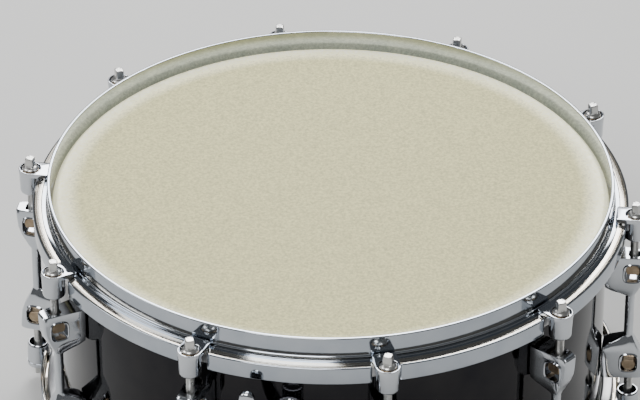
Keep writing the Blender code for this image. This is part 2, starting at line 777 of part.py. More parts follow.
def make_lever_pin():
    """The shoulder screw on which the lever turns."""
    head = HUB_FRONT + SEAT_GAP
    profile = [
        (0, head + PIN_HEAD_THICKNESS),
        (PIN_HEAD_RADIUS, head + PIN_HEAD_THICKNESS),
        (PIN_HEAD_RADIUS, head),
        (PIN_RADIUS, head),
        (PIN_RADIUS, BRIDGE_BACK + SEAT_GAP),
        (0, BRIDGE_BACK + SEAT_GAP),
    ]
    placed("lever_pin", turned(profile, 12), "nickel", strainer_side() @ pivot_axis(0))


def clamp_body():
    """A clamp bar with a square-headed key screw near each end."""
    return chamfered(
        block((CLAMP_BACK, -CLAMP_HALF_WIDTH, CLAMP_BOTTOM), (CLAMP_FRONT, CLAMP_HALF_WIDTH, CLAMP_TOP)),
        BASE_CHAMFER / 2,
        2,
    )


def clamp_screws():
    heads = []
    for side in (-1, 1):
        low = (CLAMP_FRONT - CLAMP_THICKNESS / 2, side * CLAMP_SCREW_OFFSET - CLAMP_SCREW_WIDTH / 2,
               (CLAMP_BOTTOM + CLAMP_TOP - CLAMP_SCREW_WIDTH) / 2)
        high = (CLAMP_FRONT + CLAMP_SCREW_HEIGHT, side * CLAMP_SCREW_OFFSET + CLAMP_SCREW_WIDTH / 2,
                (CLAMP_BOTTOM + CLAMP_TOP + CLAMP_SCREW_WIDTH) / 2)
        heads.append(block(low, high))
    return gathered(heads)


def make_clamps():
    """One clamp on the slide and one on the butt plate."""
    for name, place in (("strainer_strap_clamp", strainer_side()), ("butt_strap_clamp", butt_side())):
        made = placed(name, clamp_body(), "chrome", place)
        boolean(made, clamp_screws(), "UNION")


def make_butt_plate():
    """The fixed bracket that holds the far end of the snares."""
    body = chamfered(
        block((FOOT - BASE_BACK, -BUTT_HALF_WIDTH, BUTT_BOTTOM), (SLIDE_FRONT, BUTT_HALF_WIDTH, BUTT_TOP)),
        BASE_CHAMFER,
        2,
    )
    made = placed("butt_plate", body, "chrome", butt_side())
    boolean(made, shell_space(BUTT_BOTTOM - BASE_CHAMFER, BUTT_TOP + BASE_CHAMFER))


def make_snares():
    """Twenty strands between two end plates: one sheet, slotted between the strands."""
    half = ((STRAND_COUNT - 1) * STRAND_PITCH + STRAND_WIDTH) / 2
    reach = STRAND_HALF_LENGTH + END_PLATE_LENGTH
    sheet = block((-half, -reach, WIRE_BOTTOM), (half, reach, WIRE_TOP))
    made = placed("snare_wires", sheet, "snare_steel")
    slots = []
    for i in range(STRAND_COUNT - 1):
        left = -half + STRAND_WIDTH + i * STRAND_PITCH
        slots.append(
            block(
                (left, -STRAND_HALF_LENGTH, WIRE_BOTTOM - STRAND_THICKNESS),
                (left + STRAND_PITCH - STRAND_WIDTH, STRAND_HALF_LENGTH, WIRE_TOP + STRAND_THICKNESS),
            )
        )
    boolean(made, gathered(slots))


def strap_path():
    """The strap's middle line by depth and height: out under the hoop, round, and up."""
    level = STRAP_LEVEL + STRAP_THICKNESS / 2
    depth = STRAP_BACK + STRAP_THICKNESS / 2
    points = [(STRAP_START, level)]
    for i in range(4):
        turn = math.pi / 2 * i / 3
        points.append(
            (depth - STRAP_BEND + STRAP_BEND * math.sin(turn), level + STRAP_BEND - STRAP_BEND * math.cos(turn))
        )
    return points + [(depth, STRAP_TOP)]


def make_straps():
    """The two flat straps that hold the snares to the slide and to the butt plate."""
    path = [Vector(point) for point in strap_path()]
    rings = []
    for i, point in enumerate(path):
        before = path[max(i - 1, 0)]
        after = path[min(i + 1, len(path) - 1)]
        along = (after - before).normalized()
        across = Vector((along.y, -along.x)) * STRAP_THICKNESS / 2
        rings.append(
            [
                Vector((point.x + s * across.x, w, point.y + s * across.y))
                for s, w in (
                    (1, STRAP_HALF_WIDTH), (-1, STRAP_HALF_WIDTH), (-1, -STRAP_HALF_WIDTH), (1, -STRAP_HALF_WIDTH)
                )
            ]
        )
    placed("strainer_strap", loft(rings), "strap_plastic", strainer_side())
    placed("butt_strap", loft(rings), "strap_plastic", butt_side())


def main():
    clear_scene()
    make_shell()
    make_vent()
    make_heads()
    make_hoops()
    make_claws()
    make_rods()
    make_lugs()
    make_strainer_base()
    make_slide()
    make_knob()
    make_lever()
    make_lever_pin()
    make_clamps()
    make_butt_plate()
    make_snares()
    make_straps()


main()
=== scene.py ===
"""Dresses the concert snare drum: shell, turned hoops, heads, claws, rods, lugs and throw-off.

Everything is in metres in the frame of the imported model, with the drum's axis on Z and
its bottom hoop standing on z = 0.
"""

import logging
import math
from dataclasses import dataclass, field
from enum import Enum

import bpy
import numpy as np
from mathutils import Matrix, Vector


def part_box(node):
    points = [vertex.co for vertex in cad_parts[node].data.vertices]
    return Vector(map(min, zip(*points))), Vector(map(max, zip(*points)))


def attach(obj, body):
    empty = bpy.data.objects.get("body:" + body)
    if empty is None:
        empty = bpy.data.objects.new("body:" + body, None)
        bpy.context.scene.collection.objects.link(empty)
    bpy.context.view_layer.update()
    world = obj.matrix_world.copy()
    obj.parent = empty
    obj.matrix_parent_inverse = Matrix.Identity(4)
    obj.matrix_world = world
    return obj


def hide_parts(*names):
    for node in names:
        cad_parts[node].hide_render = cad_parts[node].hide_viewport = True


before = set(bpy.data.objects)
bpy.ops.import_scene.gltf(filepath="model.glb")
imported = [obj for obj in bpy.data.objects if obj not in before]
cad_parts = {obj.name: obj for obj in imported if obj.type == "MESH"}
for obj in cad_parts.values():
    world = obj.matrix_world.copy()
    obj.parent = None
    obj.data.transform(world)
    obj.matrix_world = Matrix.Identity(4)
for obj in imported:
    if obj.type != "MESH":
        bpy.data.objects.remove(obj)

log = logging.getLogger("snare_drum")

ROUND = 320
SMALL_ROUND = 40
LUG_COUNT = 10
SHARP_ANGLE = math.radians(34)
SAME_POINT = 1e-7


class Half(Enum):
    """Which half of the drum a piece belongs to."""

    TOP = 1
    BOTTOM = -1


@dataclass(frozen=True)
class DrumSizes:
    """The sizes that the pieces share, in metres, measured from the drum's middle plane."""

    middle: float = 0.088
    shell_radius: float = 0.177
    shell_half: float = 0.0762
    film_top: float = 0.0768
    ledge: float = 0.0733
    ledge_fall: float = 0.0008
    band_radius: float = 0.190
    band_wall: float = 0.0022
    band_bottom: float = 0.0610
    rod_circle: float = 0.195
    claw_top: float = 0.0765
    cup_radius: float = 0.00765


SIZES = DrumSizes()


def place(angle: float, half: Half, reach: float = 0.0) -> np.ndarray:
    """The matrix that carries a piece of the top half round the drum, and over for the bottom.

    Args:
        angle: Azimuth in radians.
        half: Top or bottom half.
        reach: Distance of the piece's own origin from the drum's axis.

    Returns:
        A 4 by 4 matrix.
    """
    turn = Matrix.Rotation(angle, 4, "Z")
    if half is Half.BOTTOM:
        turn = turn @ Matrix.Rotation(math.pi, 4, "X")
    lift = Matrix.Translation((0, 0, SIZES.middle))
    return np.array(lift @ turn @ Matrix.Translation((reach, 0, 0)))


def skin(
    name: str, rows: np.ndarray, wrap: bool, matrix: np.ndarray | None = None
) -> bpy.types.Object:
    """A closed surface through rows of points.

    Each row is a closed loop of the same number of points, and each row joins the next
    with quads. A wrapped skin joins its last row to its first. Otherwise each end is
    closed by a fan to the mean of its row.

    Args:
        name: The piece's name.
        rows: Points, shaped rows by columns by 3.
        wrap: Whether the last row joins the first.
        matrix: Carries the points to their place.

    Returns:
        The new object, linked to the scene.
    """
    count, around = rows.shape[:2]
    points = rows.reshape(-1, 3)
    last = count if wrap else count - 1
    i, j = np.meshgrid(np.arange(last), np.arange(around), indexing="ij")
    i, j = i.ravel(), j.ravel()
    up, right = (i + 1) % count, (j + 1) % around
    lower, upper = i * around, up * around
    faces = np.stack([lower + j, lower + right, upper + right, upper + j], axis=1).tolist()
    if not wrap:
        centres = np.stack([rows[0].mean(axis=0), rows[-1].mean(axis=0)])
        points = np.concatenate([points, centres])
        ring = np.arange(around)
        ahead = (ring + 1) % around
        hub = np.full(around, count * around)
        base = (count - 1) * around
        first = np.stack([hub, ahead, ring], axis=1)
        final = np.stack([hub + 1, base + ring, base + ahead], axis=1)
        faces += first.tolist() + final.tolist()
    if matrix is not None:
        points = points @ matrix[:3, :3].T + matrix[:3, 3]
    mesh = bpy.data.meshes.new(name)
    mesh.from_pydata(points.tolist(), [], faces)
    mesh.update()
    piece = bpy.data.objects.new(name, mesh)
    bpy.context.scene.collection.objects.link(piece)
    if signed_volume(mesh) < 0:
        mesh.flip_normals()
    mesh.shade_smooth()
    mesh.set_sharp_from_angle(angle=SHARP_ANGLE)
    return piece


def signed_volume(mesh: bpy.types.Mesh) -> float:
    """Six times the volume that a mesh encloses: the sum of a . (b x c) over its triangles.

    Args:
        mesh: A closed mesh.

    Returns:
        The volume times six, negative where the faces point in.
    """
    mesh.calc_loop_triangles()
    points = np.empty(len(mesh.vertices) * 3, dtype=np.float32)
    mesh.vertices.foreach_get("co", points)
    corners = np.empty(len(mesh.loop_triangles) * 3, dtype=np.int32)
    mesh.loop_triangles.foreach_get("vertices", corners)
    triangles = points.astype(float).reshape(-1, 3)[corners.reshape(-1, 3)]
    a, b, c = triangles.transpose(1, 0, 2)
    return float(np.einsum("ij,ij->i", a, np.cross(b, c)).sum())


def revolve(profile: np.ndarray, segments: int) -> np.ndarray:
    """Sweeps each profile point (r, z) round the Z axis: (r cos a, r sin a, z).

    Args:
        profile: Radii and heights, shaped n by 2.
        segments: Points round the axis.

    Returns:
        Rows for a skin, shaped n by segments by 3.
    """
    angle = full_turn(segments)
    r, z = profile[:, 0, None], np.repeat(profile[:, 1, None], segments, axis=1)
    return np.stack([r * np.cos(angle), r * np.sin(angle), z], axis=2)


def full_turn(count: int) -> np.ndarray:
    """Angles that divide a full turn evenly."""
    return np.linspace(0, 2 * np.pi, count, endpoint=False)


def distinct(profile: np.ndarray) -> np.ndarray:
    """A profile without the points that repeat the one before."""
    far = np.linalg.norm(np.diff(profile, axis=0), axis=1) > SAME_POINT
    return profile[np.concatenate([[True], far])]


def rounded(
    points: list[tuple[float, float]], radius: float, steps: int = 4, wrap: bool = True
) -> np.ndarray:
    """An outline with each corner replaced by a quadratic curve that starts a radius before it.

    Args:
        points: The corners.
        radius: How far from the corner the curve starts, at most 0.45 of the shorter side.
        steps: Points on each curve, less one.
        wrap: Whether the outline is closed.

    Returns:
        The outline's points, shaped n by 2.
    """
    corners = np.array(points, dtype=float)
    before, after = np.roll(corners, 1, axis=0), np.roll(corners, -1, axis=0)
    back, ahead = before - corners, after - corners
    long_back = np.linalg.norm(back, axis=1, keepdims=True)
    long_ahead = np.linalg.norm(ahead, axis=1, keepdims=True)
    reach = np.minimum(radius, 0.45 * np.minimum(long_back, long_ahead))
    start, end = corners + back / long_back * reach, corners + ahead / long_ahead * reach
    if not wrap:
        start[0] = end[0] = corners[0]
        start[-1] = end[-1] = corners[-1]
    t = np.linspace(0, 1, steps + 1)[None, :, None]
    curve = start[:, None] * (1 - t) ** 2 + corners[:, None] * 2 * t * (1 - t)
    return (curve + end[:, None] * t ** 2).reshape(-1, 2)


def node_link(
    tree: bpy.types.NodeTree, source: bpy.types.NodeSocket, target: bpy.types.NodeSocket
) -> None:
    """Links two sockets of a material."""
    tree.links.new(source, target)


def add_node(tree: bpy.types.NodeTree, kind: str, **values: float) -> bpy.types.Node:
    """Adds a node and sets its inputs.

    Args:
        tree: The material's nodes.
        kind: The node's type.
        values: Input values by name, with _ for a space.

    Returns:
        The new node.
    """
    node = tree.nodes.new(kind)
    for name, value in values.items():
        node.inputs[name.replace("_", " ")].default_value = value
    return node


def add_ramp(
    tree: bpy.types.NodeTree,
    ends: tuple[float, float],
    colours: tuple[tuple[float, float, float], tuple[float, float, float]],
) -> bpy.types.Node:
    """Adds a colour ramp from one colour to another.

    Args:
        tree: The material's nodes.
        ends: Where the ramp starts and ends.
        colours: The colours at its ends.

    Returns:
        The new node.
    """
    ramp = tree.nodes.new("ShaderNodeValToRGB")
    for element, position, colour in zip(ramp.color_ramp.elements, ends, colours):
        element.position = position
        element.color = (*colour, 1)
    return ramp


def add_radius(tree: bpy.types.NodeTree, coords: bpy.types.Node) -> bpy.types.NodeSocket:
    """Works out the distance from the drum's axis: the length of (x, y, 0).

    Args:
        tree: The material's nodes.
        coords: Texture coordinates.

    Returns:
        The socket that gives the distance.
    """
    split = add_node(tree, "ShaderNodeSeparateXYZ")
    node_link(tree, coords.outputs["Object"], split.inputs["Vector"])
    flat = add_node(tree, "ShaderNodeCombineXYZ")
    for axis in "XY":
        node_link(tree, split.outputs[axis], flat.inputs[axis])
    length = add_node(tree, "ShaderNodeVectorMath")
    length.operation = "LENGTH"
    node_link(tree, flat.outputs["Vector"], length.inputs[0])
    return length.outputs["Value"]


def multiply(
    tree: bpy.types.NodeTree, first: bpy.types.NodeSocket, second: bpy.types.NodeSocket
) -> bpy.types.NodeSocket:
    """Multiplies two values.

    Args:
        tree: The material's nodes.
        first: One value's socket.
        second: The other value's socket.

    Returns:
        The socket that gives the product.
    """
    product = add_node(tree, "ShaderNodeMath")
    product.operation = "MULTIPLY"
    node_link(tree, first, product.inputs[0])
    node_link(tree, second, product.inputs[1])
    return product.outputs["Value"]


@dataclass(frozen=True)
class Metal:
    """A polished or turned metal whose roughness wanders a little over the surface."""

    name: str
    colour: tuple[float, float, float]
    tint: tuple[float, float, float]
    roughness: float
    wander: float = 0.05
    scale: float = 60.0
    bump: float = 0.02
    bump_height: float = 0.0002
    fine_ratio: float = 12.0
    tint_range: tuple[float, float] = (0.35, 0.70)
    turned_pitch: float = 0.0
    turned_inner: tuple[float, float] = (0.1838, 0.1844)
    turned_outer: tuple[float, float] = (0.1888, 0.1892)
    turned_range: tuple[float, float] = (0.42, 0.54)
    turned_dark_reflection: tuple[float, float, float] = (0.30, 0.235, 0.15)
    turned_pale_reflection: tuple[float, float, float] = (0.86, 0.83, 0.76)

    def material(self) -> bpy.types.Material:
        """Builds the node material once and then returns the same one."""
        made = bpy.data.materials.get(self.name)
        if made:
            return made
        made = bpy.data.materials.new(self.name)
        made.use_nodes = True
        tree = made.node_tree
        shader = tree.nodes["Principled BSDF"]
        shader.inputs["Metallic"].default_value = 1.0
        coords = add_node(tree, "ShaderNodeTexCoord")
        noise = add_node(tree, "ShaderNodeTexNoise", Scale=self.scale, Detail=5.0)
        node_link(tree, coords.outputs["Object"], noise.inputs["Vector"])
        ramp = add_ramp(tree, self.tint_range, (self.colour, self.tint))
        node_link(tree, noise.outputs["Fac"], ramp.inputs["Fac"])
        highest = self.roughness + self.wander
        rough = add_node(tree, "ShaderNodeMapRange", To_Min=self.roughness, To_Max=highest)
        node_link(tree, noise.outputs["Fac"], rough.inputs["Value"])
        node_link(tree, rough.outputs["Result"], shader.inputs["Roughness"])
        fine = add_node(tree, "ShaderNodeTexNoise", Scale=self.scale * self.fine_ratio)
        node_link(tree, coords.outputs["Object"], fine.inputs["Vector"])
        bump = add_node(tree, "ShaderNodeBump", Strength=self.bump, Distance=self.bump_height)
        node_link(tree, fine.outputs["Fac"], bump.inputs["Height"])
        node_link(tree, bump.outputs["Normal"], shader.inputs["Normal"])
        if self.turned_pitch:
            self.add_turned_lines(tree, coords, ramp, bump, shader)
        else:
            node_link(tree, ramp.outputs["Color"], shader.inputs["Base Color"])
        return made

    def add_turned_lines(
        self,
        tree: bpy.types.NodeTree,
        coords: bpy.types.Node,
        ramp: bpy.types.Node,
        bump: bpy.types.Node,
        shader: bpy.types.Node,
    ) -> None:
        """Adds fine concentric lines on the hoop's ledge: noise of the radius, masked by radius. The lines'
        relief is the turned metal's own, and their pale and dark warm tones are painted reflection.

        Args:
            tree: The material's nodes.
            coords: Texture coordinates.
            ramp: The metal's own colour.
            bump: The metal's own relief.
            shader: The surface shader.
        """
        radius = add_radius(tree, coords)
        wave = add_node(tree, "ShaderNodeTexNoise")
        wave.noise_dimensions = "1D"
        wave.inputs["Scale"].default_value = 1.0 / self.turned_pitch
        wave.inputs["Detail"].default_value = 2.0
        node_link(tree, radius, wave.inputs["W"])
        low, high = self.turned_inner
        inner = add_node(tree, "ShaderNodeMapRange", From_Min=low, From_Max=high)
        node_link(tree, radius, inner.inputs["Value"])
        low, high = self.turned_outer
        outer = add_node(
            tree, "ShaderNodeMapRange", From_Min=low, From_Max=high, To_Min=1.0, To_Max=0.0
        )
        node_link(tree, radius, outer.inputs["Value"])
        mask = multiply(tree, inner.outputs["Result"], outer.outputs["Result"])
        lines = multiply(tree, wave.outputs["Fac"], mask)
        second = add_node(tree, "ShaderNodeBump", Strength=0.4, Distance=0.0001)
        node_link(tree, lines, second.inputs["Height"])
        node_link(tree, bump.outputs["Normal"], second.inputs["Normal"])
        node_link(tree, second.outputs["Normal"], shader.inputs["Normal"])
        # Painted reflection: over the ledge, the base colour turns to pale and dark warm stripes for what the
        # turned chrome reflects.
        warm = add_node(tree, "ShaderNodeMix")
        warm.data_type = "RGBA"
        node_link(tree, mask, warm.inputs["Factor"])
        node_link(tree, ramp.outputs["Color"], warm.inputs[6])
        tone = add_ramp(tree, self.turned_range, (self.turned_dark_reflection, self.turned_pale_reflection))
        node_link(tree, wave.outputs["Fac"], tone.inputs["Fac"])
        node_link(tree, tone.outputs["Color"], warm.inputs[7])
        node_link(tree, warm.outputs[2], shader.inputs["Base Color"])


@dataclass(frozen=True)
class Film:
    """A coated head: mottled ivory, with a painted highlight: a paler band near the edge, and an emission glow
    there, stand in for light on the film's shoulder.
    """

    name: str
    middle_colour: tuple[float, float, float]
    lit_edge_colour: tuple[float, float, float]
    roughness: float
    mottling: float = 0.06
    painted_glow: float = 0.0
    lit_edge_band: tuple[float, float] = (0.158, 0.1735)
    grain: float = 520.0
    grain_range: tuple[float, float] = (0.36, 0.64)

    def material(self) -> bpy.types.Material:
        """Builds the node material once and then returns the same one."""
        made = bpy.data.materials.get(self.name)
        if made:
            return made
        made = bpy.data.materials.new(self.name)
        made.use_nodes = True
        tree = made.node_tree
        shader = tree.nodes["Principled BSDF"]
        shader.inputs["Roughness"].default_value = self.roughness
        coords = add_node(tree, "ShaderNodeTexCoord")
        # Painted highlight: the film turns paler towards its edge, where light falls on the shoulder over the
        # bearing edge.
        low, high = self.lit_edge_band
        edge = add_node(tree, "ShaderNodeMapRange", From_Min=low, From_Max=high)
        edge.interpolation_type = "SMOOTHSTEP"
        node_link(tree, add_radius(tree, coords), edge.inputs["Value"])
        mix = add_node(tree, "ShaderNodeMix")
        mix.data_type = "RGBA"
        node_link(tree, edge.outputs["Result"], mix.inputs["Factor"])
        # Painted glow: the edge band emits light in its own colour, though the film is no lamp.
        if self.painted_glow:
            lit = add_node(tree, "ShaderNodeMath")
            lit.operation = "MULTIPLY"
            lit.inputs[1].default_value = self.painted_glow
            node_link(tree, edge.outputs["Result"], lit.inputs[0])
            node_link(tree, lit.outputs["Value"], shader.inputs["Emission Strength"])
            shader.inputs["Emission Color"].default_value = (*self.lit_edge_colour, 1)
        mix.inputs[6].default_value = (*self.middle_colour, 1)
        mix.inputs[7].default_value = (*self.lit_edge_colour, 1)
        noise = add_node(
            tree, "ShaderNodeTexNoise", Scale=self.grain, Detail=9.0, Roughness=0.78
        )
        node_link(tree, coords.outputs["Object"], noise.inputs["Vector"])
        low, high = self.grain_range
        shade = add_node(tree, "ShaderNodeMapRange", From_Min=low, From_Max=high)
        shade.inputs["To Min"].default_value = 1.0 - self.mottling
        shade.inputs["To Max"].default_value = 1.0 + self.mottling
        node_link(tree, noise.outputs["Fac"], shade.inputs["Value"])
        scale = add_node(tree, "ShaderNodeVectorMath")
        scale.operation = "SCALE"
        node_link(tree, mix.outputs[2], scale.inputs[0])
        node_link(tree, shade.outputs["Result"], scale.inputs["Scale"])
        node_link(tree, scale.outputs["Vector"], shader.inputs["Base Color"])
        bump = add_node(tree, "ShaderNodeBump", Strength=0.12, Distance=0.0001)
        node_link(tree, noise.outputs["Fac"], bump.inputs["Height"])
        node_link(tree, bump.outputs["Normal"], shader.inputs["Normal"])
        return made


CHROME = Metal("polished_chrome", (0.52, 0.545, 0.58), (0.58, 0.60, 0.63), 0.06)
# The hoop's chrome is a darker copy of the polished chrome: painted shade for the dim surroundings that the
# hoop's upright and band reflect.
SHADED_HOOP_CHROME = Metal(
    "hoop_chrome", (0.40, 0.435, 0.48), (0.46, 0.49, 0.53), 0.06, turned_pitch=0.00062
)
BLACK_SHELL = Metal(
    "black_plated_shell", (0.018, 0.018, 0.021), (0.030, 0.029, 0.030), 0.05, wander=0.03, scale=25.0
)
NICKEL = Metal(
    "warm_nickel", (0.30, 0.225, 0.15), (0.42, 0.33, 0.23), 0.25, wander=0.10, scale=300.0
)
STEEL = Metal(
    "rod_steel", (0.60, 0.60, 0.58), (0.68, 0.67, 0.65), 0.24, wander=0.10, scale=200.0
)
ALUMINIUM = Metal("flesh_hoop_aluminium", (0.52, 0.52, 0.53), (0.60, 0.60, 0.61), 0.32)
SNARE_WIRE = Metal("snare_wire", (0.60, 0.61, 0.63), (0.68, 0.68, 0.70), 0.18, scale=400.0)
# The coated film's pale edge colour and its glow are painted highlight on the head's shoulder. The clear film's
# slightly paler edge is painted highlight too.
COATED = Film(
    "coated_ivory_film", (0.55, 0.515, 0.24), (1.0, 0.97, 0.68), 0.55, mottling=0.34, painted_glow=0.30
)
CLEAR = Film("hazy_film", (0.62, 0.64, 0.65), (0.66, 0.68, 0.69), 0.22, mottling=0.02)
STRAP = Film("strap_plastic", (0.02, 0.02, 0.021), (0.03, 0.03, 0.03), 0.45)


def dress(
    piece: bpy.types.Object, finish: Metal | Film, body: str, slot: str, *nodes: str
) -> None:
    """Gives a piece its finish and its body, and hides the nodes that it replaces.

    Args:
        piece: The piece.
        finish: Its finish.
        body: The body that carries it.
        slot: Not used.
        nodes: The CAD nodes that it stands for.
    """
    piece.data.materials.clear()
    piece.data.materials.append(finish.material())
    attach(piece, body)
    if nodes:
        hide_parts(*nodes)
    log.info("%s: %d faces", piece.name, len(piece.data.polygons))


@dataclass
class Shell:
    """The plated metal shell with its rolled bearing edges."""

    wall: float = 0.0015
    edge: float = 0.0032
    flange: float = 0.0075
    round: float = 0.002

    def build(self) -> None:
        """Revolves the closed outline of the wall and its two rolled edges."""
        r, h = SIZES.shell_radius, SIZES.shell_half
        top = [(r - self.flange, h - self.edge), (r - self.edge, h), (r, h - self.edge)]
        lip = h - self.edge - self.wall
        inner = [(r - self.wall, lip - self.wall), (r - self.flange, lip)]
        lower = [(x, -y) for x, y in top[::-1] + inner[::-1]]
        rows = revolve(rounded(top + lower + inner, self.round), ROUND)
        piece = skin("shell_wall", rows, True, place(0, Half.TOP))
        dress(piece, BLACK_SHELL, "drum", "black_shell", "shell")


@dataclass
class Hoop:
    """A hoop: upright, bead, groove, turned ledge and a notched outer band."""

    bore: float = 0.1783
    wall: float = 0.0022
    bead: float = 0.0006
    bead_height: float = 0.0022
    groove: float = 0.0033
    groove_depth: float = 0.0009
    thickness: float = 0.0033
    notch_half: float = 0.00845
    notch_radius: float = 0.1868
    band_round: float = 0.0022
    columns: int = 60

    def outline(self) -> np.ndarray:
        """The section as points of radius and height, with its corners rounded."""
        s = SIZES
        outer, bead = self.bore + self.wall, self.bore + self.wall + self.bead
        low = s.ledge - self.groove_depth
        foot = s.ledge - s.ledge_fall
        under = s.ledge - self.thickness
        return rounded(
            [
                (self.bore, s.middle), (outer, s.middle), (outer, s.ledge + self.bead_height),
                (bead, s.ledge + self.bead_height - self.bead), (bead, low), (bead + self.groove, low),
                (bead + self.groove, s.ledge), (s.band_radius, foot), (s.band_radius, s.band_bottom),
                (s.band_radius - s.band_wall, s.band_bottom), (s.band_radius - s.band_wall, under),
                (self.bore, under),
            ],
            0.0007,
        )

    def build(self, half: Half, name: str, node: str) -> None:
        """Sweeps the section round the drum, drawn in at each claw.

        In a notch each point beyond the notch's radius is drawn in to it and lifted to
        the ledge's underside, and at a notch's ends the band's corner rounds off.

        Args:
            half: Top or bottom hoop.
            name: The piece's name.
            node: The CAD node that it stands for.
        """
        outline = self.outline()
        sector = 2 * np.pi / LUG_COUNT
        notch = self.notch_half / SIZES.band_radius
        curl = self.band_round / SIZES.band_radius
        ends = notch + curl * np.array([0, 0.08, 0.3, 0.62, 1.0])
        inside = np.linspace(-notch, notch, 9)
        between = np.linspace(ends[-1], sector - ends[-1], self.columns)[1:-1]
        local = np.concatenate([inside, ends, between, sector - ends[::-1]])
        kind = np.concatenate([np.ones(9), np.zeros(len(local) - 9)])
        angle = (np.arange(LUG_COUNT)[:, None] * sector + local[None]).ravel()
        cut = np.tile(kind, LUG_COUNT).astype(bool)
        distance = np.abs((angle + sector / 2) % sector - sector / 2)
        share = np.clip((distance - notch) / curl, 0, 1)
        drawn = self.band_round * 0.5 * (1 - np.sqrt(1 - (1 - share) ** 2))
        r = np.repeat(outline[:, 0, None], len(angle), axis=1)
        h = np.repeat(outline[:, 1, None], len(angle), axis=1)
        outer = r > SIZES.band_radius - 0.0009
        r = np.where(outer, r - drawn[None], r)
        beyond = (r > self.notch_radius) & cut[None]
        under = SIZES.ledge - self.thickness
        h = np.where(beyond, np.maximum(h, under), h)
        r = np.where(beyond, self.notch_radius + (h - under) * 1e-3, r)
        rows = np.stack([r * np.cos(angle), r * np.sin(angle), h], axis=2)
        piece = skin(name, rows, True, place(0, half))
        dress(piece, SHADED_HOOP_CHROME, "drum", "chrome", node)


@dataclass
class Head:
    """A film over the bearing edge with its flesh hoop."""

    film: float = 0.0003
    edge: float = 0.0029
    collar: float = 0.0115
    flesh_width: float = 0.0075
    flesh_height: float = 0.0079

    def build(
        self, half: Half, finish: Film, slot: str, name: str, nodes: tuple[str, str]
    ) -> None:
        """Revolves the film from the axis over the edge, and the flesh hoop beside its collar.

        Args:
            half: Batter or snare side.
            finish: The film's finish.
            slot: The film's material slot.
            name: The film's name.
            nodes: The CAD nodes of the film and of the flesh hoop.
        """
        s = SIZES
        top = s.film_top
        outer = s.shell_radius + 0.0006
        inner = outer - self.film
        under = top - self.film
        flat = np.linspace(0.001, s.shell_radius - self.edge - 0.002, 14)
        over = rounded(
            [(flat[-1], top), (s.shell_radius - self.edge, top), (outer, s.shell_half - self.edge),
             (outer, s.shell_half - self.collar)], 0.0022, 6, False)
        below = rounded(
            [(inner, s.shell_half - self.collar), (inner, s.shell_half - self.edge),
             (s.shell_radius - self.edge, under), (flat[-1], under)], 0.0022, 6, False)
        face = np.stack([flat[:-1], np.full(13, top)], axis=1)
        back = np.stack([flat[:-1][::-1], np.full(13, under)], axis=1)
        profile = np.concatenate([face, over, below, back])
        piece = skin(name, revolve(distinct(profile), ROUND), False, place(0, half))
        dress(piece, finish, "drum", slot, nodes[0])
        bore = outer + 0.0003
        high = s.ledge - 0.0033 - 0.0003
        ring = rounded(
            [(bore, high), (bore + self.flesh_width, high),
             (bore + self.flesh_width, high - self.flesh_height), (bore, high - self.flesh_height)],
            0.0015)
        hoop = skin(f"{name}_flesh_ring", revolve(ring, ROUND), True, place(0, half))
        dress(hoop, ALUMINIUM, "drum", "flesh_aluminium", nodes[1])


@dataclass
class Claw:
    """A collar claw: a D-shaped plate on the ledge with a recessed cup for the rod."""

    plate: float = 0.0029
    length: float = 0.0170
    reach: float = 0.0125
    rim: float = 0.0009
    recess: float = 0.0021
    floor: float = 0.0024
    sides: int = 64

    def outline(self, radius: float, reach: float, corner: float, height: float) -> np.ndarray:
        """One level of the plate: a half circle outside, then two sides in to a straight edge.

        Args:
            radius: The half circle's radius and half the plate's width.
            reach: How far the plate runs in from the rod.
            corner: How far its inner corners round off.
            height: The level's height.

        Returns:
            Points, shaped sides by 3.
        """
        angle = full_turn(self.sides)
        x, y = radius * np.cos(angle), radius * np.sin(angle)
        from_front = np.abs((angle + np.pi) % (2 * np.pi) - np.pi)
        turn = np.clip((from_front - np.pi / 2) / (np.pi / 2), 0, 1)
        path = turn * (reach + radius)
        on_side = path < reach
        edge = np.clip(path - reach, 0, radius)
        side_y = np.sign(np.sin(angle) + 1e-12) * (radius - np.where(on_side, 0, edge))
        side_x = -np.where(on_side, path, reach)
        inner = np.cos(angle) < -1e-9
        drop = np.clip(np.hypot(path - reach, 0) / corner, 0, 1)
        pull = np.where(inner, (1 - drop) * corner * 0.3, 0)
        x = np.where(inner, side_x + pull, x)
        y = np.where(inner, side_y - np.sign(side_y) * pull, y)
        return np.stack([x, y, np.full(self.sides, height)], axis=1)

    def ring(self, radius: float, height: float) -> np.ndarray:
        """A circle with the plate outline's number of points."""
        return revolve(np.array([[radius, height]]), self.sides)[0]

    def build(self, half: Half, number: int, angle: float, nodes: tuple[str, ...]) -> None:
        """Lofts plate, cup, hollow, floor and recess as one closed skin.

        Args:
            half: Top or bottom half.
            number: The claw's number.
            angle: Its azimuth in radians.
            nodes: The CAD nodes that it stands for.
        """
        top = SIZES.claw_top
        radius = SIZES.cup_radius
        low = top - self.plate
        bottom = top - self.length
        rows = [
            self.outline(radius - 0.0003, self.reach - 0.0003, 0.001, top),
            self.outline(radius - 0.0001, self.reach - 0.0001, 0.001, top - 0.0001),
            self.outline(radius, self.reach, 0.001, top - 0.0004),
            self.outline(radius, self.reach, 0.001, low),
            self.ring(radius - 0.0002, low),
            self.ring(radius - 0.0005, bottom + 0.0016),
            self.ring(radius - 0.0008, bottom + 0.0005),
            self.ring(radius - 0.0013, bottom),
            self.ring(0.0059, bottom),
            self.ring(0.0058, bottom + 0.0004),
            self.ring(0.0058, top - self.recess - self.floor),
            self.ring(0.0033, top - self.recess - self.floor),
            self.ring(0.0033, top - self.recess),
            self.ring(radius - self.rim, top - self.recess),
            self.ring(radius - self.rim, top - 0.0002),
            self.ring(radius - self.rim + 0.0002, top),
        ]
        name = f"{half.name.lower()}_claw_cup_{number:02d}"
        piece = skin(name, np.array(rows), True, place(angle, half, SIZES.rod_circle))
        dress(piece, CHROME, "drum", "chrome", *nodes)


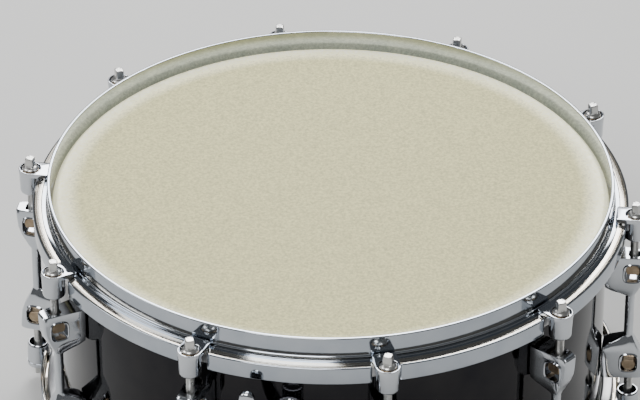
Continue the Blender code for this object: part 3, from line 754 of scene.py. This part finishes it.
@dataclass
class Rod:
    """A tension rod with a turned thread, a collar, a loose washer and a square key head."""

    shaft: float = 0.00272
    length: float = 0.0395
    collar: float = 0.0052
    washer: float = 0.0054
    head: float = 0.0056
    head_height: float = 0.0064
    pitch: float = 0.00106
    thread_depth: float = 0.00022

    def build(self, half: Half, number: int, angle: float) -> None:
        """Revolves shaft and collar, closes them with the square head, and adds the washer.

        The thread's radius is the shaft's less a cosine of the height and the angle. The
        head is a superellipse of power 9, which gives a square with rounded corners.

        Args:
            half: Top or bottom half.
            number: The rod's number.
            angle: Its azimuth in radians.
        """
        word = half.name.lower()
        node = f"{word}_rod_{number:02d}"
        seat = SIZES.claw_top - 0.0016
        angles = full_turn(SMALL_ROUND)
        z = np.arange(seat - self.length, seat - 0.018, self.pitch / 4)[:, None]
        r = self.shaft - self.thread_depth * (1 + np.cos(2 * np.pi * z / self.pitch - angles)) / 2
        thread = np.stack([r * np.cos(angles), r * np.sin(angles), np.broadcast_to(z, r.shape)], axis=2)
        tip = revolve(np.array([[0.0018, seat - self.length - 0.0008]]), SMALL_ROUND)
        above = revolve(
            np.array(
                [[self.shaft, seat - 0.0175], [self.shaft, seat + 0.0013], [self.collar - 0.0002, seat + 0.0013],
                 [self.collar, seat + 0.0016], [self.collar - 0.0002, seat + 0.0021],
                 [self.collar - 0.0008, seat + 0.0027], [self.head / 2 + 0.0008, seat + 0.0031]]
            ),
            SMALL_ROUND,
        )
        rows = np.concatenate([tip, thread, above])
        key = angles - (math.radians(278) - angle) + 0.35 * math.sin(2.3 * number)
        power = (np.abs(np.cos(key)) ** 9 + np.abs(np.sin(key)) ** 9) ** (-1 / 9)
        top = seat + 0.0030 + self.head_height
        heads = []
        levels = ((1.0, seat + 0.0034), (0.98, top - 0.0009), (0.92, top - 0.0003), (0.78, top))
        for share, height in levels:
            radius = self.head / 2 * share * power
            level = np.full(SMALL_ROUND, height)
            heads.append(np.stack([radius * np.cos(angles), radius * np.sin(angles), level], 1))
        rows = np.concatenate([rows, np.array(heads)])
        where = place(angle, half, SIZES.rod_circle)
        piece = skin(f"{node}_screw", rows, False, where)
        dress(piece, STEEL, node, "chrome", node)
        ring = rounded([(self.shaft + 0.0002, seat + 0.0012), (self.washer, seat + 0.0012),
                        (self.washer, seat), (self.shaft + 0.0002, seat)], 0.0003)
        washer = skin(f"{node}_washer", revolve(ring, SMALL_ROUND), True, where)
        dress(washer, NICKEL, node, "nickel", node)


@dataclass
class Lug:
    """A double-ended lug: two flared castings, a tube between them and two swivel nuts."""

    levels: tuple[tuple[float, float, float, float, float], ...] = field(
        default=(
            (0.1771, 0.2040, 0.0083, 0.0047, 0.0465),
            (0.1771, 0.2050, 0.0085, 0.0050, 0.0455),
            (0.1771, 0.2047, 0.0085, 0.0050, 0.0400),
            (0.1771, 0.2040, 0.0085, 0.0050, 0.0330),
            (0.1771, 0.2022, 0.0085, 0.0050, 0.0275),
            (0.1775, 0.2002, 0.0080, 0.0047, 0.0235),
            (0.1812, 0.1987, 0.0062, 0.0043, 0.0205),
            (0.1858, 0.1976, 0.0046, 0.0038, 0.0182),
            (0.1893, 0.1969, 0.0034, 0.0032, 0.0162),
            (0.1907, 0.1967, 0.0030, 0.0030, 0.0148),
        )
    )
    sides: int = 48
    pocket_low: tuple[float, float, float] = (0.1915, -0.0038, 0.0408)
    pocket_high: tuple[float, float, float] = (0.1992, 0.0038, 0.0480)
    window_low: tuple[float, float] = (0.1898, 0.0285)
    window_high: tuple[float, float] = (0.2002, 0.0410)
    window_round: float = 0.0042
    nut_radius: float = 0.0046
    nut_flat: float = 0.0030
    nut_height: float = 0.0364

    def section(self, level: tuple[float, float, float, float, float]) -> np.ndarray:
        """One level: a superellipse whose half width tapers from the foot to the face.

        Args:
            level: Inner and outer radius, half width at each, and height.

        Returns:
            Points, shaped sides by 3.
        """
        inner, outer, inner_half, outer_half, height = level
        angle = full_turn(self.sides)
        narrow = np.clip((inner_half - 0.0030) / 0.0015, 0, 1)
        power = 2 + 8 * narrow
        radius = (np.abs(np.cos(angle)) ** power + np.abs(np.sin(angle)) ** power) ** (-1 / power)
        u = radius * np.cos(angle)
        v = radius * np.sin(angle)
        half = (inner_half + outer_half) / 2 - (inner_half - outer_half) / 2 * u
        x = (inner + outer) / 2 + (outer - inner) / 2 * u
        return np.stack([x, half * v, np.full(self.sides, height)], axis=1)

    def build(self, number: int, angle: float) -> None:
        """Lofts the whole lug, cuts pockets and windows, and seats the nuts in them.

        Args:
            number: The lug's number.
            angle: Its azimuth in radians.
        """
        rows = [self.section(level) for level in self.levels]
        rows += [row * np.array([1, 1, -1]) for row in reversed(rows)]
        node = f"lug_{number:02d}"
        piece = skin(f"{node}_casting", np.array(rows), False)
        for sign in (1, -1):
            self.cut(piece, self.pocket(sign))
            self.cut(piece, self.window(sign))
        settle(piece)
        carry(piece, place(angle, Half.TOP))
        dress(piece, CHROME, "drum", "chrome", node)
        for half in (Half.TOP, Half.BOTTOM):
            self.build_nut(half, node, angle)
            self.build_rims(half, node, angle)

    def pocket(self, sign: int) -> bpy.types.Object:
        """The open pocket's cutter: a box with rounded upright corners.

        Args:
            sign: 1 for the upper end, -1 for the lower.

        Returns:
            The cutter.
        """
        low, high = np.array(self.pocket_low), np.array(self.pocket_high)
        (x, y, z), middle = (high - low) / 2, (high + low) / 2
        flat = rounded([(-x, -y), (x, -y), (x, y), (-x, y)], 0.002)
        rows = np.stack([np.column_stack([flat, np.full(len(flat), level)]) for level in (-z, z)])
        return skin("cutter", (rows + middle) * np.array([1, 1, sign]), False)

    def window_outline(self) -> np.ndarray:
        """The side window's outline as points of radius and height."""
        (x0, z0), (x1, z1) = self.window_low, self.window_high
        return rounded([(x0, z0), (x1, z0), (x1, z1), (x0, z1)], self.window_round, 6)

    def window(self, sign: int) -> bpy.types.Object:
        """The side window's cutter, which crosses the whole casting.

        Args:
            sign: 1 for the upper end, -1 for the lower.

        Returns:
            The cutter.
        """
        x, z = self.window_outline().T
        rows = np.stack([np.stack([x, np.full(len(x), y), z], axis=1) for y in (-0.02, 0.02)])
        return skin("cutter", rows * np.array([1, 1, sign]), False)

    def cut(self, piece: bpy.types.Object, cutter: bpy.types.Object) -> None:
        """Adds a Boolean difference.

        Args:
            piece: The piece to cut.
            cutter: What is taken away.
        """
        change = piece.modifiers.new("cut", "BOOLEAN")
        change.operation = "DIFFERENCE"
        change.solver = "EXACT"
        change.object = cutter

    def build_rims(self, half: Half, node: str, angle: float) -> None:
        """The raised rim round each side window.

        The side wall stands at y = 6.75 mm - 0.127 (x - 190.9 mm). Each rim is five loops:
        the window's outline and one that is 1.1 mm larger, both sunk in the wall and proud of it.

        Args:
            half: Top or bottom end.
            node: The lug's CAD node.
            angle: The lug's azimuth in radians.
        """
        low, high = np.array(self.window_low), np.array(self.window_high)
        middle, span = (low + high) / 2, (high - low) / 2
        hole = self.window_outline()
        outer = middle + (hole - middle) * (span + 0.0011) / span
        crown = middle + (hole - middle) * (span + 0.0006) / span
        for side, word in ((1, "left"), (-1, "right")):
            rows = []
            for loop, proud in (
                (hole, -0.0010), (hole, 0.0003), (crown, 0.0007), (outer, 0.0002), (outer, -0.0010)
            ):
                wall = 0.00675 - 0.127 * (loop[:, 0] - 0.1909) + proud
                rows.append(np.stack([loop[:, 0], side * wall, loop[:, 1]], axis=1))
            name = f"{node}_{half.name.lower()}_{word}_rim"
            rim = skin(name, np.array(rows), True, place(angle, half))
            dress(rim, CHROME, "drum", "chrome", node)

    def build_nut(self, half: Half, node: str, angle: float) -> None:
        """A swivel nut: a cylinder along the tangent, flat on the side away from the head.

        Args:
            half: Top or bottom end.
            node: The lug's CAD node.
            angle: The lug's azimuth in radians.
        """
        turn = full_turn(self.sides)
        x = self.nut_radius * np.cos(turn)
        z = np.maximum(self.nut_radius * np.sin(turn), -self.nut_flat)
        rows = []
        for share, y in ((0.90, -0.0052), (1.0, -0.0048), (1.0, 0.0048), (0.90, 0.0052)):
            ends = np.full(self.sides, y)
            loop = [SIZES.rod_circle + x * share, ends, self.nut_height + z * share]
            rows.append(np.stack(loop, axis=1))
        word = half.name.lower()
        nut = skin(f"{node}_{word}_swivel_nut", np.array(rows), False, place(angle, half))
        dress(nut, NICKEL, "drum", "nickel", node)


def settle(piece: bpy.types.Object) -> None:
    """Applies a piece's modifiers and removes their cutters.

    Args:
        piece: The piece, which keeps its name.
    """
    bpy.context.view_layer.update()
    graph = bpy.context.evaluated_depsgraph_get()
    mesh = bpy.data.meshes.new_from_object(piece.evaluated_get(graph))
    cutters = [change.object for change in piece.modifiers]
    piece.modifiers.clear()
    piece.data = mesh
    for cutter in cutters:
        bpy.data.objects.remove(cutter, do_unlink=True)
    mesh.shade_smooth()
    mesh.set_sharp_from_angle(angle=SHARP_ANGLE)


def carry(piece: bpy.types.Object, matrix: np.ndarray) -> None:
    """Moves a piece's mesh by a matrix, which leaves the object at the origin."""
    piece.data.transform(Matrix(matrix.tolist()))


@dataclass
class Snares:
    """Twenty coiled strands between two end plates."""

    strands: int = 20
    spacing: float = 0.0020
    coil: float = 0.00055
    wire: float = 0.00021
    pitch: float = 0.0014
    steps: int = 5
    sides: int = 3
    reach: float = 0.1585
    plate_start: float = 0.158

    def build(self) -> None:
        """Runs a thin tube along each strand's helix: (coil cos t, pitch t, coil sin t)."""
        low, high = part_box("snare_wires")
        height = (low.z + high.z) / 2
        y = np.arange(-self.reach, self.reach, self.pitch / self.steps)
        phase = 2 * np.pi * y / self.pitch
        around = 2 * np.pi * np.arange(self.sides) / self.sides
        radius = self.coil + self.wire * np.cos(around)[None]
        x = radius * np.cos(phase)[:, None]
        z = height + radius * np.sin(phase)[:, None]
        along = y[:, None] + self.wire * np.sin(around)[None]
        for number in range(self.strands):
            side = (number - (self.strands - 1) / 2) * self.spacing
            rows = np.stack([x + side, along, z], axis=2)
            strand = skin(f"snare_strand_{number + 1:02d}", rows, False)
            dress(strand, SNARE_WIRE, "snares", "snare_steel", "snare_wires")
        for sign, word in ((1, "butt"), (-1, "strainer")):
            width, near, far = high.x - 0.0001, self.plate_start, high.y
            flat = rounded([(-width, near), (width, near), (width, far), (-width, far)], 0.003)
            rows = [
                np.column_stack([flat[:, 0], sign * flat[:, 1], np.full(len(flat), z)])
                for z in (low.z + 0.0002, high.z - 0.0002)
            ]
            plate = skin(f"snare_plate_{word}", np.array(rows), False)
            dress(plate, SNARE_WIRE, "snares", "snare_steel", "snare_wires")


@dataclass
class ThrowOff:
    """The lever with its hub and the fluted tension knob, by depth from the drum's axis."""

    pivot: float = 0.092
    bow: tuple[float, float] = (-0.0290, 0.1160)
    tip: tuple[float, float] = (-0.0226, 0.1475)
    root_half: float = 0.0060
    tip_half: float = 0.0047
    back: float = 0.1975
    thickness: float = 0.0070
    hub_radius: float = 0.0088
    hub_depths: tuple[float, float] = (0.1955, 0.2045)
    pin_radius: float = 0.0027
    knob_depth: float = 0.1867
    knob_radius: float = 0.0075
    knob_heights: tuple[float, float] = (0.120, 0.132)
    flutes: int = 16

    def build(self) -> None:
        """Builds arm, hub and knob."""
        self.build_arm()
        self.build_hub()
        self.build_knob()

    def build_arm(self) -> None:
        """Carries a superellipse along the arm's quadratic curve.

        The half width falls evenly from root to tip, and over the last half width it
        follows a quarter circle, which rounds the tip.
        """
        t = 1 - (1 - np.linspace(0, 1, 60)) ** 1.6
        start, bow, tip = np.array([0, self.pivot]), np.array(self.bow), np.array(self.tip)
        u = t[:, None]
        path = start * (1 - u) ** 2 + bow * 2 * u * (1 - u) + tip * u ** 2
        along = (bow - start) * (1 - u) + (tip - bow) * u
        along /= np.linalg.norm(along, axis=1, keepdims=True)
        across = np.stack([along[:, 1], -along[:, 0]], axis=1)
        left = np.linalg.norm(path - tip, axis=1)
        half = self.root_half * (1 - t) + self.tip_half * t
        near = np.clip(1 - left / self.tip_half, 0, 1)
        half = half * np.sqrt(np.maximum(1 - near ** 2, 0.0004))
        thick = self.thickness * (1 - 0.2 * t) / 2
        round_off = thick * np.sqrt(np.maximum(1 - 0.9 * near ** 4, 0.01))
        angle = full_turn(36)
        power = 3.2
        radius = (np.abs(np.cos(angle)) ** power + np.abs(np.sin(angle)) ** power) ** (-1 / power)
        side = half[:, None] * (radius * np.cos(angle))[None]
        depth = self.back + thick[:, None] + round_off[:, None] * (radius * np.sin(angle))[None]
        x = path[:, 0, None] + across[:, 0, None] * side
        z = path[:, 1, None] + across[:, 1, None] * side
        arm = skin("lever_arm", np.stack([x, -depth, z], axis=2), False)
        dress(arm, CHROME, "throw_off_lever", "chrome", "throw_off_lever")

    def build_hub(self) -> None:
        """Revolves the hub's ring about the pivot pin and turns its axis to -Y."""
        low, high = self.hub_depths
        ring = rounded([(self.pin_radius, low), (self.hub_radius, low), (self.hub_radius, high),
                        (self.pin_radius, high)], 0.0012)
        rows = revolve(ring, 64)
        rows = np.stack([rows[..., 0], -rows[..., 2], rows[..., 1] + self.pivot], axis=2)
        hub = skin("lever_hub", rows, True)
        dress(hub, CHROME, "throw_off_lever", "chrome", "throw_off_lever")

    def build_knob(self) -> None:
        """Revolves stem and head, with the head's radius drawn in by a squared cosine per flute."""
        low, high = self.knob_heights
        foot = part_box("tension_knob")[0].z
        r = self.knob_radius
        dish = high - 0.0006
        profile = distinct(rounded(
            [(0.0004, foot), (0.0024, foot), (0.0024, low), (r, low), (r, high),
             (r * 0.55, high), (r * 0.50, dish), (0.0004, dish)], 0.0009, 5, False))
        rows = revolve(profile, 8 * self.flutes)
        angle = full_turn(8 * self.flutes)
        flute = 1 - 0.07 * (0.5 + 0.5 * np.cos(self.flutes * angle)) ** 2
        outer = np.clip((profile[:, 0] - 0.6 * r) / (0.3 * r), 0, 1)[:, None]
        rows[..., :2] *= (1 - outer + outer * flute)[..., None]
        knob = skin("tension_knob_head", rows + np.array([0, -self.knob_depth, 0]), False)
        dress(knob, CHROME, "tension_knob", "chrome", "tension_knob")


@dataclass
class CarriedNodes:
    """The small CAD nodes that stay as they are, with new finishes."""

    chrome: tuple[str, ...] = (
        "air_vent", "strainer_base", "strainer_slide",
        "strainer_strap_clamp", "butt_plate", "butt_strap_clamp",
    )
    nickel: tuple[str, ...] = ("lever_pin",)
    plastic: tuple[str, ...] = ("strainer_strap", "butt_strap")

    def build(self) -> None:
        """Gives each node its finish."""
        for nodes, finish in ((self.chrome, CHROME), (self.nickel, NICKEL), (self.plastic, STRAP)):
            for node in nodes:
                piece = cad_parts[node]
                piece.data.materials.clear()
                piece.data.materials.append(finish.material())
                log.info("%s keeps its solid", node)


@dataclass
class Studio:
    """A pale floor, soft lights and the camera at the photograph's angle."""

    camera_place: tuple[float, float, float] = (0.30134, -2.20174, 1.6146)
    camera_aim: tuple[float, float, float] = (-0.11595, 0.82819, -0.54834)
    lens: float = 234.0
    floor_reach: float = 6.0
    floor_colour: tuple[float, float, float] = (0.62, 0.62, 0.61)
    sky_colour: tuple[float, float, float] = (0.80, 0.81, 0.82)
    sky_strength: float = 0.20
    lights: tuple[tuple[str, tuple[float, float, float], float, float], ...] = (
        ("key", (-0.10, 0.95, 1.30), 1.0, 27.0),
        ("fill", (-1.9, -0.5, 1.5), 1.2, 22.0),
        ("front", (-0.25, -1.55, 1.75), 1.0, 30.0),
        ("back", (-0.35, 2.1, 1.55), 1.5, 12.0),
    )

    def build(self) -> None:
        """Makes floor, world, lights and camera."""
        self.build_floor()
        self.build_lights()
        self.build_camera()

    def build_floor(self) -> None:
        """Makes a square floor at z = 0 with a plain paint."""
        mesh = bpy.data.meshes.new("floor")
        r = self.floor_reach
        corners = [(-r, -r, 0), (r, -r, 0), (r, r, 0), (-r, r, 0)]
        mesh.from_pydata(corners, [], [(0, 1, 2, 3)])
        floor = bpy.data.objects.new("floor", mesh)
        bpy.context.scene.collection.objects.link(floor)
        paint = bpy.data.materials.new("floor_paint")
        paint.use_nodes = True
        shader = paint.node_tree.nodes["Principled BSDF"]
        shader.inputs["Base Color"].default_value = (*self.floor_colour, 1)
        shader.inputs["Roughness"].default_value = 0.8
        mesh.materials.append(paint)

    def build_lights(self) -> None:
        """Makes the plain world and the soft lights, each turned towards the drum."""
        world = bpy.data.worlds.new("studio")
        world.use_nodes = True
        sky = world.node_tree.nodes["Background"]
        sky.inputs["Color"].default_value = (*self.sky_colour, 1)
        sky.inputs["Strength"].default_value = self.sky_strength
        bpy.context.scene.world = world
        target = Vector((0, 0, 0.1))
        for name, where, size, power in self.lights:
            light = bpy.data.lights.new(name, "AREA")
            light.energy = power
            light.size = size
            lamp = bpy.data.objects.new(name, light)
            lamp.location = where
            aim = target - Vector(where)
            lamp.rotation_euler = aim.to_track_quat("-Z", "Y").to_euler()
            bpy.context.scene.collection.objects.link(lamp)

    def build_camera(self) -> None:
        """Places the camera as solved from the photograph."""
        lens = bpy.data.cameras.new("camera")
        lens.lens = self.lens
        lens.clip_end = 50
        camera = bpy.data.objects.new("camera", lens)
        camera.location = self.camera_place
        camera.rotation_euler = Vector(self.camera_aim).to_track_quat("-Z", "Y").to_euler()
        bpy.context.scene.collection.objects.link(camera)
        bpy.context.scene.camera = camera


def main() -> None:
    """Builds the classes in order."""
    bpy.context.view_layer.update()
    Studio().build()
    Shell().build()
    Hoop().build(Half.TOP, "top_hoop_ring", "top_hoop")
    Hoop().build(Half.BOTTOM, "bottom_hoop_ring", "bottom_hoop")
    batter = ("batter_head", "batter_flesh_hoop")
    snare_side = ("snare_side_head", "snare_side_flesh_hoop")
    Head().build(Half.TOP, COATED, "coated_film", "batter_film", batter)
    Head().build(Half.BOTTOM, CLEAR, "clear_film", "snare_side_film", snare_side)
    for number in range(1, LUG_COUNT + 1):
        angle = 2 * math.pi * (number - 1) / LUG_COUNT
        Claw().build(Half.TOP, number, angle, (f"top_claw_{number:02d}",))
        Claw().build(Half.BOTTOM, number, angle, ("bottom_hoop",))
        Rod().build(Half.TOP, number, angle)
        Rod().build(Half.BOTTOM, number, angle)
        Lug().build(number, angle)
    Snares().build()
    ThrowOff().build()
    CarriedNodes().build()


if __name__ == "__main__":
    logging.basicConfig(level=logging.INFO)
    main()
